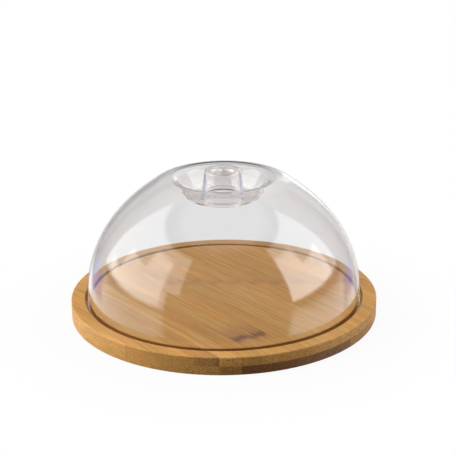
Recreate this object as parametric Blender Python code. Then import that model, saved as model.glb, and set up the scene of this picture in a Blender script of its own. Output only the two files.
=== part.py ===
"""Round bamboo serving board with a clear lift-off dome.

Metres, +Z up. The origin is on the table, under the centre of the board. The
board is glued up from two plies of bamboo staves whose grain runs along X, then
turned round and grooved. The dome is one clear moulding whose rim stands in the
groove, and its grip is a hollow knob that rises from a well in the crown.
"""

import math

import bmesh
import bpy
from mathutils import Matrix, Vector
from mathutils.geometry import interpolate_bezier

# Board
LOWER_PLY = 0.0087
UPPER_PLY = 0.0087
WHOLE_STAVES = 18  # across each ply, between the two that the turning trims
TRIMMED_STAVE = 0.006  # width that the turning leaves of the outermost staves
RIM_WIDTH = 0.0134  # of the face outside the groove
FACE_ROUND = 0.0012  # radius of the rim's upper edge
FOOT_ROUND = 0.0010  # radius of the rim's lower edge
GROOVE_DEPTH = 0.0045
GROOVE_CHAMFER = 0.0004

# Fit of the dome's rim in the groove
PLAY_INSIDE = 0.0014
PLAY_OUTSIDE = 0.0022
SEAT_GAP = 0.0003

# Dome, with heights above the board's face
WALL = 0.0025
DOME_RADIUS = 0.1344
RIM_ROUND = 0.0008
WALL_RISE = 0.0643  # how far up the wall its upright start carries
SHOULDER_RADIUS = 0.0620
SHOULDER_HEIGHT = 0.1167
SHOULDER_SLOPE = math.radians(34)
SHOULDER_PULL = 0.0334  # how far down the wall the shoulder's slope carries
SHOULDER_ROUND = 0.0240

# Recess in the crown
LIP_RADIUS = 0.0466
LIP_RISE = 0.0029  # of the crown, from its shoulder to the lip
LIP_ROUND = 0.0080
RECESS_DEPTH = 0.0196  # from the lip to the well's floor
WELL_RADIUS = 0.0320
WELL_DEPTH = 0.0034  # of the steep part below the funnel
WELL_DRAFT = 0.0010
WELL_ROUND = 0.0006

# Knob
KNOB_HEIGHT = 0.0260  # above the well's floor
KNOB_FOOT_RADIUS = 0.0208
KNOB_TOP_RADIUS = 0.0175
KNOB_ROUND = 0.0003
GATE_RADIUS = 0.0015  # mark that the moulding gate leaves on the knob's top
GATE_HEIGHT = 0.0003

AXIS_MARK = 0.03  # size of the cross that stands for an empty

# Fineness of the round faces
BOARD_STEPS = 180
DOME_STEPS = 60
WALL_STEPS = 12
ARC_STEPS = 3

GROOVE_INSIDE = DOME_RADIUS - WALL - PLAY_INSIDE
GROOVE_OUTSIDE = DOME_RADIUS + PLAY_OUTSIDE
BOARD_RADIUS = GROOVE_OUTSIDE + RIM_WIDTH
BOARD_FACE = LOWER_PLY + UPPER_PLY
STAVE_WIDTH = 2 * (BOARD_RADIUS - TRIMMED_STAVE) / WHOLE_STAVES
OVERCUT = 0.002  # how far a raw stave stands past the turned outline

# Linear base colours
GOLDEN = (0.60, 0.34, 0.115)
PALE = (0.66, 0.40, 0.155)
AMBER = (0.48, 0.25, 0.078)
SMOKED = (0.25, 0.12, 0.045)
CLEAR = (0.93, 0.95, 0.95)

TONE_NAMES = {GOLDEN: "golden", PALE: "pale", AMBER: "amber", SMOKED: "smoked"}

# Tones of the staves, in turn from the -Y side
UPPER_TONES = (PALE,) + (GOLDEN,) * 3 + (PALE, GOLDEN) * 2 + (GOLDEN,) + (PALE,) * 3 + (GOLDEN,) * 4
UPPER_TONES += (PALE, GOLDEN) * 2
LOWER_TONES = (GOLDEN,) * 4 + (AMBER,) + (SMOKED,) * 7 + (AMBER,) * 3 + (GOLDEN,) * 5


def clear_scene():
    for obj in list(bpy.data.objects):
        bpy.data.objects.remove(obj, do_unlink=True)


def material(name, color, roughness, alpha=1.0):
    """A Principled material, made once for each name."""
    if name in bpy.data.materials:
        return bpy.data.materials[name]
    made = bpy.data.materials.new(name)
    made.use_nodes = True
    shader = made.node_tree.nodes["Principled BSDF"]
    shader.inputs["Base Color"].default_value = (*color, 1.0)
    shader.inputs["Roughness"].default_value = roughness
    shader.inputs["Metallic"].default_value = 0.0
    shader.inputs["Alpha"].default_value = alpha
    made.diffuse_color = (*color, alpha)
    return made


def new_object(name, mesh, parent=None):
    obj = bpy.data.objects.new(name, mesh)
    bpy.context.collection.objects.link(obj)
    obj.parent = parent
    return obj


def new_empty(name, height):
    obj = new_object(name, None)
    obj.location.z = height
    obj.empty_display_size = AXIS_MARK
    return obj


def turned(name, profile, steps, parent=None):
    """A solid of revolution. Its profile (r, z) runs from the axis, down the outside, to the axis."""
    mesh = bpy.data.meshes.new(name)
    edges = [(i, i + 1) for i in range(len(profile) - 1)]
    mesh.from_pydata([(r, 0.0, z) for r, z in profile], edges, [])
    obj = new_object(name, mesh, parent)
    screw = obj.modifiers.new("Turn", "SCREW")
    screw.axis = "Z"
    screw.steps = steps
    screw.render_steps = steps
    screw.use_merge_vertices = True
    screw.merge_threshold = 0.00001
    screw.use_smooth_shade = True
    return obj


def arc(centre, radius, start, end):
    """Points of an arc about centre, between two angles in degrees."""
    turns = [math.radians(start + (end - start) * i / ARC_STEPS) for i in range(ARC_STEPS + 1)]
    return [(centre[0] + radius * math.cos(a), centre[1] + radius * math.sin(a)) for a in turns]


def make_blank(name, profile, height):
    """The turned outline of one ply, which its staves are cut to."""
    blank = turned(name, profile, BOARD_STEPS)
    blank.location.z = height
    blank.hide_render = True
    blank.display_type = "WIRE"
    return blank


def upper_profile():
    """The upper ply, with the groove for the dome's rim and a rounded upper edge."""
    floor = UPPER_PLY - GROOVE_DEPTH
    chamfer = UPPER_PLY - GROOVE_CHAMFER
    profile = [(0.0, UPPER_PLY), (GROOVE_INSIDE - GROOVE_CHAMFER, UPPER_PLY)]
    profile += [(GROOVE_INSIDE, chamfer), (GROOVE_INSIDE, floor)]
    profile += [(GROOVE_OUTSIDE, floor), (GROOVE_OUTSIDE, chamfer)]
    profile += [(GROOVE_OUTSIDE + GROOVE_CHAMFER, UPPER_PLY)]
    profile += arc((BOARD_RADIUS - FACE_ROUND, UPPER_PLY - FACE_ROUND), FACE_ROUND, 90, 0)
    return profile + [(BOARD_RADIUS, 0.0), (0.0, 0.0)]


def lower_profile():
    """The lower ply, flat underneath, with a rounded lower edge."""
    profile = [(0.0, LOWER_PLY), (BOARD_RADIUS, LOWER_PLY)]
    profile += arc((BOARD_RADIUS - FOOT_ROUND, FOOT_ROUND), FOOT_ROUND, 0, -90)
    return profile + [(0.0, 0.0)]


def stave_joints():
    """Where the staves' sides lie along Y, from one side of the board to the other."""
    joints = [(i - WHOLE_STAVES / 2) * STAVE_WIDTH for i in range(WHOLE_STAVES + 1)]
    return [-BOARD_RADIUS - OVERCUT, *joints, BOARD_RADIUS + OVERCUT]


def raw_stave(name, low_y, high_y, thickness):
    """A sawn stave before turning. Its sides are its neighbours' sides."""
    shape = bmesh.new()
    bmesh.ops.create_cube(shape, size=2.0)
    for vert in shape.verts:
        vert.co.x *= BOARD_RADIUS + OVERCUT
        vert.co.y = high_y if vert.co.y > 0 else low_y
        vert.co.z = thickness + OVERCUT if vert.co.z > 0 else -OVERCUT
    mesh = bpy.data.meshes.new(name)
    shape.to_mesh(mesh)
    shape.free()
    return mesh


def build_ply(name, thickness, height, profile, tones, board):
    """One ply: staves side by side, each cut to the turned outline."""
    blank = make_blank(f"{name}_blank", profile, height)
    joints = stave_joints()
    for i, (low_y, high_y) in enumerate(zip(joints, joints[1:])):
        stave_name = f"{name}_stave_{i + 1:02d}"
        stave = new_object(stave_name, raw_stave(stave_name, low_y, high_y, thickness), board)
        stave.location.z = height
        tone = tones[i % len(tones)]
        stave.data.materials.append(material(f"bamboo_{TONE_NAMES[tone]}", tone, 0.45))
        turning = stave.modifiers.new("Turned outline", "BOOLEAN")
        turning.operation = "INTERSECT"
        turning.object = blank


def rounded(corners):
    """The polyline through corners (r, z, radius), with an arc at each that has a radius."""
    places = [Vector(corner[:2]) for corner in corners]
    points = [places[0]]
    for i in range(1, len(corners) - 1):
        back = places[i - 1] - places[i]
        ahead = places[i + 1] - places[i]
        half = back.angle(ahead) / 2
        reach = min(corners[i][2] / math.tan(half), 0.49 * back.length, 0.49 * ahead.length)
        if reach <= 0.0:
            points.append(places[i])
            continue
        middle = (back.normalized() + ahead.normalized()).normalized()
        centre = places[i] + middle * reach / math.cos(half)
        spoke = places[i] + back.normalized() * reach - centre
        turn = math.copysign(math.pi - 2 * half, back.x * ahead.y - back.y * ahead.x)
        for step in range(ARC_STEPS + 1):
            points.append(centre + Matrix.Rotation(-turn * step / ARC_STEPS, 2) @ spoke)
    return points + [places[-1]]


def offset(points, distance):
    """The polyline moved to the left of its way by an equal distance everywhere."""
    moved = []
    for i, here in enumerate(points):
        before = here - points[max(i - 1, 0)]
        after = points[min(i + 1, len(points) - 1)] - here
        ways = [way.normalized() for way in (before, after) if way.length > 0]
        normals = [Vector((-way.y, way.x)) for way in ways]
        mitre = sum(normals, Vector((0.0, 0.0))).normalized()
        moved.append(here + mitre * distance / mitre.dot(normals[0]))
    return moved


def dome_shoulder(half):
    """The corner where the crown and the wall would meet, in the middle of the moulding's wall."""
    across = Vector((math.sin(SHOULDER_SLOPE), math.cos(SHOULDER_SLOPE)))
    return Vector((SHOULDER_RADIUS, SHOULDER_HEIGHT)) - across * half


def dome_wall(half):
    """The middle of the dome's wall, from the end of the shoulder's arc down to the board's face."""
    crown_slope = math.atan2(LIP_RISE, SHOULDER_RADIUS - LIP_RADIUS)
    reach = (SHOULDER_ROUND + half) * math.tan((SHOULDER_SLOPE - crown_slope) / 2)
    slope = Vector((math.cos(SHOULDER_SLOPE), -math.sin(SHOULDER_SLOPE)))
    start = dome_shoulder(half) + slope * reach
    pull = dome_shoulder(half) + slope * SHOULDER_PULL
    foot = Vector((DOME_RADIUS - half, 0.0))
    return interpolate_bezier(start, pull, foot + Vector((0.0, WALL_RISE)), foot, WALL_STEPS + 1)


def dome_middle(half):
    """The middle of the moulding's wall, from the knob's centre out and down to the rim."""
    lip = SHOULDER_HEIGHT + LIP_RISE
    floor = lip - RECESS_DEPTH
    knob_top = floor + KNOB_HEIGHT
    corners = [
        (0.0, knob_top - half, 0.0),
        (KNOB_TOP_RADIUS - half, knob_top - half, KNOB_ROUND + half),
        (KNOB_FOOT_RADIUS - half, floor - half, WELL_ROUND + half),
        (WELL_RADIUS + half, floor - half, WELL_ROUND + half),
        (WELL_RADIUS + WELL_DRAFT + half, floor + WELL_DEPTH - half, WELL_ROUND + half),
        (LIP_RADIUS, lip - half, LIP_ROUND + half),
    ]
    shoulder = (*dome_shoulder(half), SHOULDER_ROUND + half)
    wall = [(*point, 0.0) for point in dome_wall(half)[1:]]
    foot = (DOME_RADIUS - half, SEAT_GAP - GROOVE_DEPTH + RIM_ROUND, 0.0)
    return rounded([*corners, shoulder, *wall, foot])


def dome_profile():
    """The moulding's section: its outside, its rim and its inside, with the gate mark on top."""
    half = WALL / 2
    middle = dome_middle(half)
    outside = [tuple(point) for point in offset(middle, half)]
    inside = [tuple(point) for point in offset(middle, -half)]
    top = outside[0][1]
    gate = [(0.0, top + GATE_HEIGHT), (GATE_RADIUS, top + GATE_HEIGHT), (GATE_RADIUS + GATE_HEIGHT, top)]
    rim_centre = middle[-1][1]
    rim = arc((DOME_RADIUS - RIM_ROUND, rim_centre), RIM_ROUND, 0, -90)
    rim += arc((DOME_RADIUS - WALL + RIM_ROUND, rim_centre), RIM_ROUND, -90, -180)
    return [*gate, *outside[1:-1], *rim, *inside[-2:0:-1], inside[0]]


def build_dome():
    """The clear moulding, on the axis along which it lifts."""
    lift_axis = new_empty("lid_lift_axis", BOARD_FACE)
    dome = turned("clear_dome", dome_profile(), DOME_STEPS, lift_axis)
    dome.data.materials.append(material("clear_plastic", CLEAR, 0.04, alpha=0.25))


def build_board():
    """The two glued plies."""
    board = new_empty("board", 0.0)
    build_ply("lower", LOWER_PLY, 0.0, lower_profile(), LOWER_TONES, board)
    build_ply("upper", UPPER_PLY, LOWER_PLY, upper_profile(), UPPER_TONES, board)


clear_scene()
build_board()
build_dome()
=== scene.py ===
"""Looks of the covered round bamboo board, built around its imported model.

The board's staves are dressed as turned bamboo with eased joints, and the dome as
one clear moulding with smooth walls. Lengths are in metres, in the frame of the
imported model: Z up, the staves' grain along X, the origin on the table under the
centre of the board.
"""

import logging
import math
from dataclasses import dataclass
from enum import Enum

import bmesh
import bpy
import numpy as np
from mathutils import Matrix, Vector


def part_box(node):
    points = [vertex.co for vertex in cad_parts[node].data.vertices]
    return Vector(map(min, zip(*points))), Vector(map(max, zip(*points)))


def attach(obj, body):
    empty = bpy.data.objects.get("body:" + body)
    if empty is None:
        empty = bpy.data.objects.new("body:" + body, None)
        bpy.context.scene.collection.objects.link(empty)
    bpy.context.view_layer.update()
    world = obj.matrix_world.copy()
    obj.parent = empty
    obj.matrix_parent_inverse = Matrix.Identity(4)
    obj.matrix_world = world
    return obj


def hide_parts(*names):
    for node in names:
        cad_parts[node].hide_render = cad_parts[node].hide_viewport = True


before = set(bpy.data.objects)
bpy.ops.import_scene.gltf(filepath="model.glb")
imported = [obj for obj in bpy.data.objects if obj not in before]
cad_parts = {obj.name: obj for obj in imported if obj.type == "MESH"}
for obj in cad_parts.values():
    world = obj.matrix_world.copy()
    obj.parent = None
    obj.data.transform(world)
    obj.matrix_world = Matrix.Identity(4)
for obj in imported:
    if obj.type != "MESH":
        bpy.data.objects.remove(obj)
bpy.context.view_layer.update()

MM = 0.001

# Points nearer than DOUBLE are one, radii are compared within HAIR, and LEAST_DIVISOR stands in
# for the length of a vector that has none
DOUBLE = 1e-7
HAIR = 1e-9
LEAST_DIVISOR = 1e-12

WHITE = (1.0, 1.0, 1.0, 1.0)
MIDDLE_STAVE = "upper_stave_11"
FIRST_STAVE = "upper_stave_01"
LOG = logging.getLogger("covered_board")

Triple = tuple[float, float, float]
Socket = bpy.types.NodeSocket
Inputs = dict[str, Socket]


# Small tools for meshes


def grid_quads(rows: int, columns: int, closed_rows: bool) -> np.ndarray:
    """Corner numbers of the quads between neighbouring rows and columns of a grid.

    Args:
        rows: number of rows of points.
        columns: number of points in each row.
        closed_rows: whether the last point of a row joins its first.

    Returns:
        An array of four point numbers for each quad, for points numbered row by row.
    """
    across = columns if closed_rows else columns - 1
    row = np.arange(rows - 1)[:, None] * columns
    here = np.arange(across)[None, :]
    after = (here + 1) % columns
    corners = (row + here, row + after, row + columns + after, row + columns + here)
    return np.stack(corners, axis=-1).reshape(-1, 4)


def new_mesh_object(name: str, points: np.ndarray, faces: list) -> bpy.types.Object:
    """Links a new object with these points and faces.

    Args:
        name: the object's name, which its mesh takes too.
        points: an array of points, three numbers each.
        faces: a list of faces, each a list of point numbers.

    Returns:
        The linked object, at the origin.
    """
    mesh = bpy.data.meshes.new(name)
    mesh.from_pydata(points.tolist(), [], faces)
    obj = bpy.data.objects.new(name, mesh)
    bpy.context.scene.collection.objects.link(obj)
    return obj


def close_and_smooth(obj: bpy.types.Object, weld: float, crease: float, flat_fins: bool = False) -> None:
    """Welds a mesh's doubles, turns its faces outwards and shades it smooth up to an angle.

    Edges shorter than a quarter of the weld's distance, and points without a face, go too.

    Args:
        obj: the object to finish.
        weld: points nearer than this become one.
        crease: edges sharper than this angle, in radians, stay sharp.
        flat_fins: whether faces that lie wholly in the plane X = 0 are doubles to take out.
    """
    shape = bmesh.new()
    shape.from_mesh(obj.data)
    bmesh.ops.remove_doubles(shape, verts=shape.verts, dist=weld)
    if flat_fins:
        fins = [face for face in shape.faces if max(abs(vert.co.x) for vert in face.verts) < weld]
        bmesh.ops.delete(shape, geom=fins, context="FACES_ONLY")
    bmesh.ops.dissolve_degenerate(shape, edges=shape.edges, dist=weld / 4)
    loose = [vert for vert in shape.verts if not vert.link_faces]
    bmesh.ops.delete(shape, geom=loose, context="VERTS")
    bmesh.ops.recalc_face_normals(shape, faces=shape.faces)
    shape.to_mesh(obj.data)
    shape.free()
    obj.data.shade_smooth()
    obj.data.set_sharp_from_angle(angle=crease)


def arc(centre: tuple[float, float], radius: float, start: float, end: float, steps: int) -> np.ndarray:
    """Points of a circular arc: centre plus radius times cosine and sine of an even run of angles.

    Args:
        centre: the arc's centre.
        radius: its radius.
        start: the angle it starts at, in degrees.
        end: the angle it ends at, in degrees.
        steps: the number of straight pieces.

    Returns:
        An array of steps + 1 points.
    """
    turn = np.radians(np.linspace(start, end, steps + 1))
    return np.stack([centre[0] + radius * np.cos(turn), centre[1] + radius * np.sin(turn)], axis=1)


def rounded(corners: np.ndarray, radii: np.ndarray, steps: int) -> np.ndarray:
    """The polyline through corners, with a circular arc in place of each corner that has a radius.

    At a corner with half angle a between its sides, the arc starts radius / tan(a) from
    the corner, and its centre lies on the halving line. It takes up no more than the whole
    of the shorter side.

    Args:
        corners: an array of points (r, z).
        radii: the arc's radius at each corner; the two ends have none.
        steps: the number of straight pieces in each arc.

    Returns:
        An array of points, without doubles.
    """
    back = corners[:-2] - corners[1:-1]
    ahead = corners[2:] - corners[1:-1]
    back_length = np.linalg.norm(back, axis=1)
    ahead_length = np.linalg.norm(ahead, axis=1)
    back_way = back / back_length[:, None]
    ahead_way = ahead / ahead_length[:, None]
    half = np.arccos(np.clip((back_way * ahead_way).sum(axis=1), -1.0, 1.0)) / 2
    reach = np.minimum(radii[1:-1] / np.tan(half), np.minimum(back_length, ahead_length))
    middle = back_way + ahead_way
    middle /= np.maximum(np.linalg.norm(middle, axis=1), LEAST_DIVISOR)[:, None]
    centre = corners[1:-1] + middle * (reach / np.cos(half))[:, None]
    spoke = corners[1:-1] + back_way * reach[:, None] - centre
    side = np.sign(back_way[:, 0] * ahead_way[:, 1] - back_way[:, 1] * ahead_way[:, 0])
    turn = -side[:, None] * (np.pi - 2 * half)[:, None] * np.linspace(0, 1, steps + 1)
    across = spoke[:, None, 0] * np.cos(turn) - spoke[:, None, 1] * np.sin(turn)
    upward = spoke[:, None, 0] * np.sin(turn) + spoke[:, None, 1] * np.cos(turn)
    arcs = centre[:, None, :] + np.stack([across, upward], axis=-1)
    line = np.concatenate([corners[:1], arcs.reshape(-1, 2), corners[-1:]])
    apart = np.linalg.norm(np.diff(line, axis=0), axis=1) > DOUBLE
    return line[np.concatenate([[True], apart])]


def moved_aside(line: np.ndarray, distance: float) -> np.ndarray:
    """The polyline moved to the left of its way by the same distance everywhere.

    Each point moves along the mean of its two sides' normals, by distance over the
    cosine of the angle between that mean and either normal.

    Args:
        line: an array of points.
        distance: how far the line moves; below zero it moves to the right.

    Returns:
        An array of as many points.
    """
    way = np.diff(line, axis=0)
    way /= np.linalg.norm(way, axis=1)[:, None]
    normal = np.stack([-way[:, 1], way[:, 0]], axis=1)
    before = np.concatenate([normal[:1], normal])
    after = np.concatenate([normal, normal[-1:]])
    mitre = before + after
    mitre /= np.linalg.norm(mitre, axis=1)[:, None]
    return line + mitre * (distance / (mitre * before).sum(axis=1))[:, None]


# Small tools for node trees


class Graph:
    """Adds nodes to one node tree and links them by value."""

    def __init__(self, tree: bpy.types.NodeTree) -> None:
        """Starts from a tree without nodes.

        Args:
            tree: the tree to fill.
        """
        self.tree = tree
        tree.nodes.clear()

    def node(self, kind: str, inputs: dict | None = None, **settings: object) -> bpy.types.Node:
        """Adds a node.

        Args:
            kind: the node's type, as bpy names it.
            inputs: values or output sockets for its inputs, by name or number.
            settings: its properties.

        Returns:
            The node.
        """
        made = self.tree.nodes.new(kind)
        for name, value in settings.items():
            setattr(made, name, value)
        for key, value in (inputs or {}).items():
            self.put(made.inputs[key], value)
        return made

    def put(self, socket: Socket, value: object) -> None:
        """Links an output socket to an input, or sets the input's own value.

        Args:
            socket: the input.
            value: an output socket, or a value that the input can hold.
        """
        if isinstance(value, Socket):
            self.tree.links.new(value, socket)
        else:
            socket.default_value = value

    def math(self, operation: str, *values: object, clamp: bool = False) -> Socket:
        """A Math node's result for these values."""
        made = self.node("ShaderNodeMath", dict(enumerate(values)), operation=operation, use_clamp=clamp)
        return made.outputs[0]

    def vector(self, operation: str, *values: object) -> Socket:
        """A Vector Math node's vector result for these values."""
        made = self.node("ShaderNodeVectorMath", dict(enumerate(values)), operation=operation)
        return made.outputs["Vector"]

    def scaled(self, vector: object, factor: object) -> Socket:
        """A vector or colour times one number."""
        made = self.node("ShaderNodeVectorMath", {"Vector": vector, "Scale": factor}, operation="SCALE")
        return made.outputs["Vector"]

    def dot(self, one: object, other: object) -> Socket:
        """The dot product of two vectors."""
        made = self.node("ShaderNodeVectorMath", {0: one, 1: other}, operation="DOT_PRODUCT")
        return made.outputs["Value"]

    def length(self, vector: object) -> Socket:
        """The length of a vector."""
        made = self.node("ShaderNodeVectorMath", {0: vector}, operation="LENGTH")
        return made.outputs["Value"]

    def bell(self, value: object, width: float) -> Socket:
        """A bell curve: 1 where value is 0, falling to 1/e where it is width away."""
        share = self.math("POWER", self.math("ABSOLUTE", self.math("DIVIDE", value, width)), 2.0)
        return self.math("EXPONENT", self.math("MULTIPLY", share, -1.0))

    def smooth(self, value: object, low: float, high: float) -> Socket:
        """A smooth step from 0 to 1.

        Args:
            value: the number that sets how far up the step a point is.
            low: the value at which the step is 0.
            high: the value at which it is 1, which may be less than low.

        Returns:
            The step's height.
        """
        inputs = {"Value": value, "From Min": low, "From Max": high}
        made = self.node("ShaderNodeMapRange", inputs, interpolation_type="SMOOTHSTEP")
        return made.outputs["Result"]

    def noise(self, vector: object, detail: float = 2.0) -> bpy.types.Node:
        """A noise texture whose lumps are about one unit of vector wide."""
        return self.node("ShaderNodeTexNoise", {"Vector": vector, "Scale": 1.0, "Detail": detail})

    def mix(self, share: object, one: object, other: object) -> Socket:
        """One colour at share 0 and the other at share 1."""
        made = self.node("ShaderNodeMix", {0: share, 6: one, 7: other}, data_type="RGBA", clamp_factor=True)
        return made.outputs[2]

    def mix_shader(self, share: object, one: Socket, other: Socket) -> Socket:
        """One shader at share 0 and the other at share 1."""
        made = self.node("ShaderNodeMixShader", {0: share, 1: one, 2: other})
        return made.outputs["Shader"]


def new_group(
    name: str, inputs: dict[str, str], outputs: dict[str, str]
) -> tuple[Graph, Inputs, bpy.types.Node]:
    """Starts a shader node group.

    Args:
        name: the group's name.
        inputs: its inputs' socket types by name.
        outputs: its outputs' socket types by name.

    Returns:
        The graph to add nodes to, the group's input values by name, and its output node.
    """
    tree = bpy.data.node_groups.new(name, "ShaderNodeTree")
    for label, kind in inputs.items():
        tree.interface.new_socket(label, in_out="INPUT", socket_type=kind)
    for label, kind in outputs.items():
        tree.interface.new_socket(label, in_out="OUTPUT", socket_type=kind)
    graph = Graph(tree)
    entry = graph.node("NodeGroupInput")
    given = {label: entry.outputs[label] for label in inputs}
    return graph, given, graph.node("NodeGroupOutput")


def new_material(name: str) -> tuple[bpy.types.Material, Graph]:
    """Starts a material with an empty node tree.

    Args:
        name: the material's name.

    Returns:
        The material, and the graph to fill it with.
    """
    made = bpy.data.materials.new(name)
    made.use_nodes = True
    return made, Graph(made.node_tree)


def fitted_group(graph: Graph, group: bpy.types.NodeTree, inputs: dict[str, object]) -> bpy.types.Node:
    """Places a node group in a graph. Its inputs exist only once its tree is set.

    Args:
        graph: the graph to place it in.
        group: the group's tree.
        inputs: values or output sockets for its inputs, by name.

    Returns:
        The group's node.
    """
    made = graph.node("ShaderNodeGroup", node_tree=group)
    for label, value in inputs.items():
        graph.put(made.inputs[label], value)
    return made


# Finishes


class BambooTone(Enum):
    """The tones that the staves come in. Each value is the record's material slot."""

    GOLDEN = "bamboo_golden"
    PALE = "bamboo_pale"
    AMBER = "bamboo_amber"
    SMOKED = "bamboo_smoked"


VECTOR = "NodeSocketVector"
NUMBER = "NodeSocketFloat"
COLOR = "NodeSocketColor"


@dataclass(frozen=True)
class BambooGrain:
    """Solid bamboo that grew along X, as a node group that works in millimetres.

    The vessels are cells of a Voronoi texture stretched along X, so that they show as dots
    on end grain and as long thin streaks elsewhere. A spread is the number of a pattern's
    lumps in a millimetre along X, Y and Z. A weight is how much the tone rises or falls.
    """

    seed_shift: Triple = (613.0, 41.0, 67.0)
    sway_spread: Triple = (0.014, 0.05, 0.05)
    sway: Triple = (0.0, 3.0, 3.0)
    end_grain_from: float = 0.25
    end_grain_to: float = 0.95
    end_grain_weight: float = -0.16
    vessel_spread: Triple = (0.010, 0.86, 0.86)
    vessel_randomness: float = 0.9
    vessel_radius: float = 0.20
    vessel_radius_play: float = 0.16
    vessel_blur: float = 0.10
    end_vessel_radius: float = 0.10
    end_vessel_share: float = 0.42
    tone_level: float = 1.04
    line_spread: Triple = (0.012, 0.9, 0.9)
    line_weight: float = 0.85
    streak_spread: Triple = (0.005, 0.24, 0.24)
    streak_weight: float = 0.40
    mottle_spread: Triple = (0.030, 0.10, 0.10)
    mottle_weight: float = 0.24
    stave_step: float = 7.31
    stave_weight: float = 0.10
    red_mottle: Triple = (1.0, 0.86, 0.80)
    red_mottle_from: float = 0.46
    red_mottle_to: float = 0.66
    red_mottle_share: float = 0.7
    knuckle_tint: Triple = (1.0, 0.90, 2.0)
    knuckle_spread: Triple = (0.05, 0.16, 0.16)
    knuckle_ragged: float = 12.0
    core_width: float = 5.5
    core_share: float = 0.75
    core_least: float = 0.4
    core_lines: float = 1.2
    halo_width: float = 17.0
    halo_shift: float = 11.0
    halo_share: float = 0.45
    halo_from: float = 0.36
    halo_to: float = 0.58
    glue_full: float = 0.06
    glue_end: float = 0.30
    glue_weight: float = -0.14
    # Painted shade in the routed groove: its darker, redder tint, where it starts and ends, and its share
    # on walls and floor
    groove_shade_tint: Triple = (1.25, 0.95, 0.90)
    groove_top: float = 0.15
    groove_full: float = 0.9
    groove_half: float = 3.2
    groove_end: float = 4.4
    groove_shade_share: float = 0.66
    floor_shade_share: float = -0.28
    floor_from: float = 3.0
    floor_to: float = 4.3
    rough: float = 0.40
    rough_lines: float = 0.16
    rough_vessels: float = 0.12
    height_lines: float = 0.5
    height_vessels: float = -0.7

    @staticmethod
    def pattern(graph: Graph, place: Socket, spread: Triple, detail: float = 2.0) -> Socket:
        """Noise from 0 to 1 with a spread of its own."""
        return graph.noise(graph.vector("MULTIPLY", place, spread), detail).outputs["Fac"]

    def swaying(self, graph: Graph, place: Socket) -> Socket:
        """Moves places a little across the grain, so that nothing along it is dead straight.

        Args:
            graph: the group's graph.
            place: the places.

        Returns:
            The moved places.
        """
        lumps = graph.noise(graph.vector("MULTIPLY", place, self.sway_spread), detail=1.0)
        lumps = graph.vector("SUBTRACT", lumps.outputs["Color"], (0.5, 0.5, 0.5))
        return graph.vector("ADD", place, graph.vector("MULTIPLY", lumps, self.sway))

    def vessels(self, graph: Graph, wavy: Socket, end_grain: Socket) -> Socket:
        """The vessels, each round the middle of its cell and a little wider on end grain.

        Args:
            graph: the group's graph.
            wavy: the swaying places.
            end_grain: 1 on end grain.

        Returns:
            1 on a vessel and 0 between them.
        """
        inputs = {
            "Vector": graph.vector("MULTIPLY", wavy, self.vessel_spread),
            "Scale": 1.0,
            "Randomness": self.vessel_randomness,
        }
        cells = graph.node("ShaderNodeTexVoronoi", inputs)
        chance = graph.node("ShaderNodeSeparateColor", {"Color": cells.outputs["Color"]}).outputs["Red"]
        radius = graph.math("MULTIPLY_ADD", end_grain, self.end_vessel_radius, self.vessel_radius)
        radius = graph.math("MULTIPLY_ADD", chance, self.vessel_radius_play, radius)
        inward = graph.math("SUBTRACT", radius, cells.outputs["Distance"])
        return graph.smooth(inward, -self.vessel_blur, self.vessel_blur)

    def ground(self, graph: Graph, given: Inputs, place: Socket, wavy: Socket, lines: Socket) -> Socket:
        """The wood between the vessels, in lines, streaks and mottles, some of them redder.

        Args:
            graph: the group's graph.
            given: the group's inputs by name.
            place: the places, moved by the stave's seed.
            wavy: the swaying places.
            lines: the fine lines.

        Returns:
            The colour.
        """
        streaks = self.pattern(graph, wavy, self.streak_spread)
        mottle = self.pattern(graph, place, self.mottle_spread)
        stave = graph.math("FRACT", graph.math("MULTIPLY", given["Seed"], self.stave_step))
        patterns = (lines, streaks, mottle, stave)
        weights = (self.line_weight, self.streak_weight, self.mottle_weight, self.stave_weight)
        level = self.tone_level
        for pattern, weight in zip(patterns, weights):
            level = graph.math("MULTIPLY_ADD", graph.math("SUBTRACT", pattern, 0.5), weight, level)
        color = graph.scaled(given["Ground"], level)
        redder = graph.vector("MULTIPLY", color, self.red_mottle)
        share = graph.smooth(mottle, self.red_mottle_from, self.red_mottle_to)
        return graph.mix(graph.math("MULTIPLY", share, self.red_mottle_share), color, redder)

    def knuckle(self, graph: Graph, given: Inputs, place: Socket, lines: Socket, x: Socket) -> Socket:
        """The knuckle: a dark core across the grain, and a streaky halo on its -X side.

        Args:
            graph: the group's graph.
            given: the group's inputs by name.
            place: the places, moved by the stave's seed.
            lines: the fine lines.
            x: the places along X.

        Returns:
            The share that the knuckle's tint takes.
        """
        ragged = graph.math("SUBTRACT", self.pattern(graph, place, self.knuckle_spread), 0.5)
        along = graph.math("MULTIPLY_ADD", given["Knuckle Place"], -1.0 / MM, x)
        along = graph.math("MULTIPLY_ADD", ragged, self.knuckle_ragged, along)
        core = graph.math("MULTIPLY_ADD", lines, self.core_lines, self.core_least)
        core = graph.math("MULTIPLY", graph.bell(along, self.core_width), core)
        halo = graph.bell(graph.math("ADD", along, self.halo_shift), self.halo_width)
        halo = graph.math("MULTIPLY", halo, graph.smooth(lines, self.halo_from, self.halo_to))
        both = graph.math("MULTIPLY", core, self.core_share)
        both = graph.math("MULTIPLY_ADD", halo, self.halo_share, both)
        return graph.math("MULTIPLY", both, given["Knuckle Depth"], clamp=True)

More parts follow.
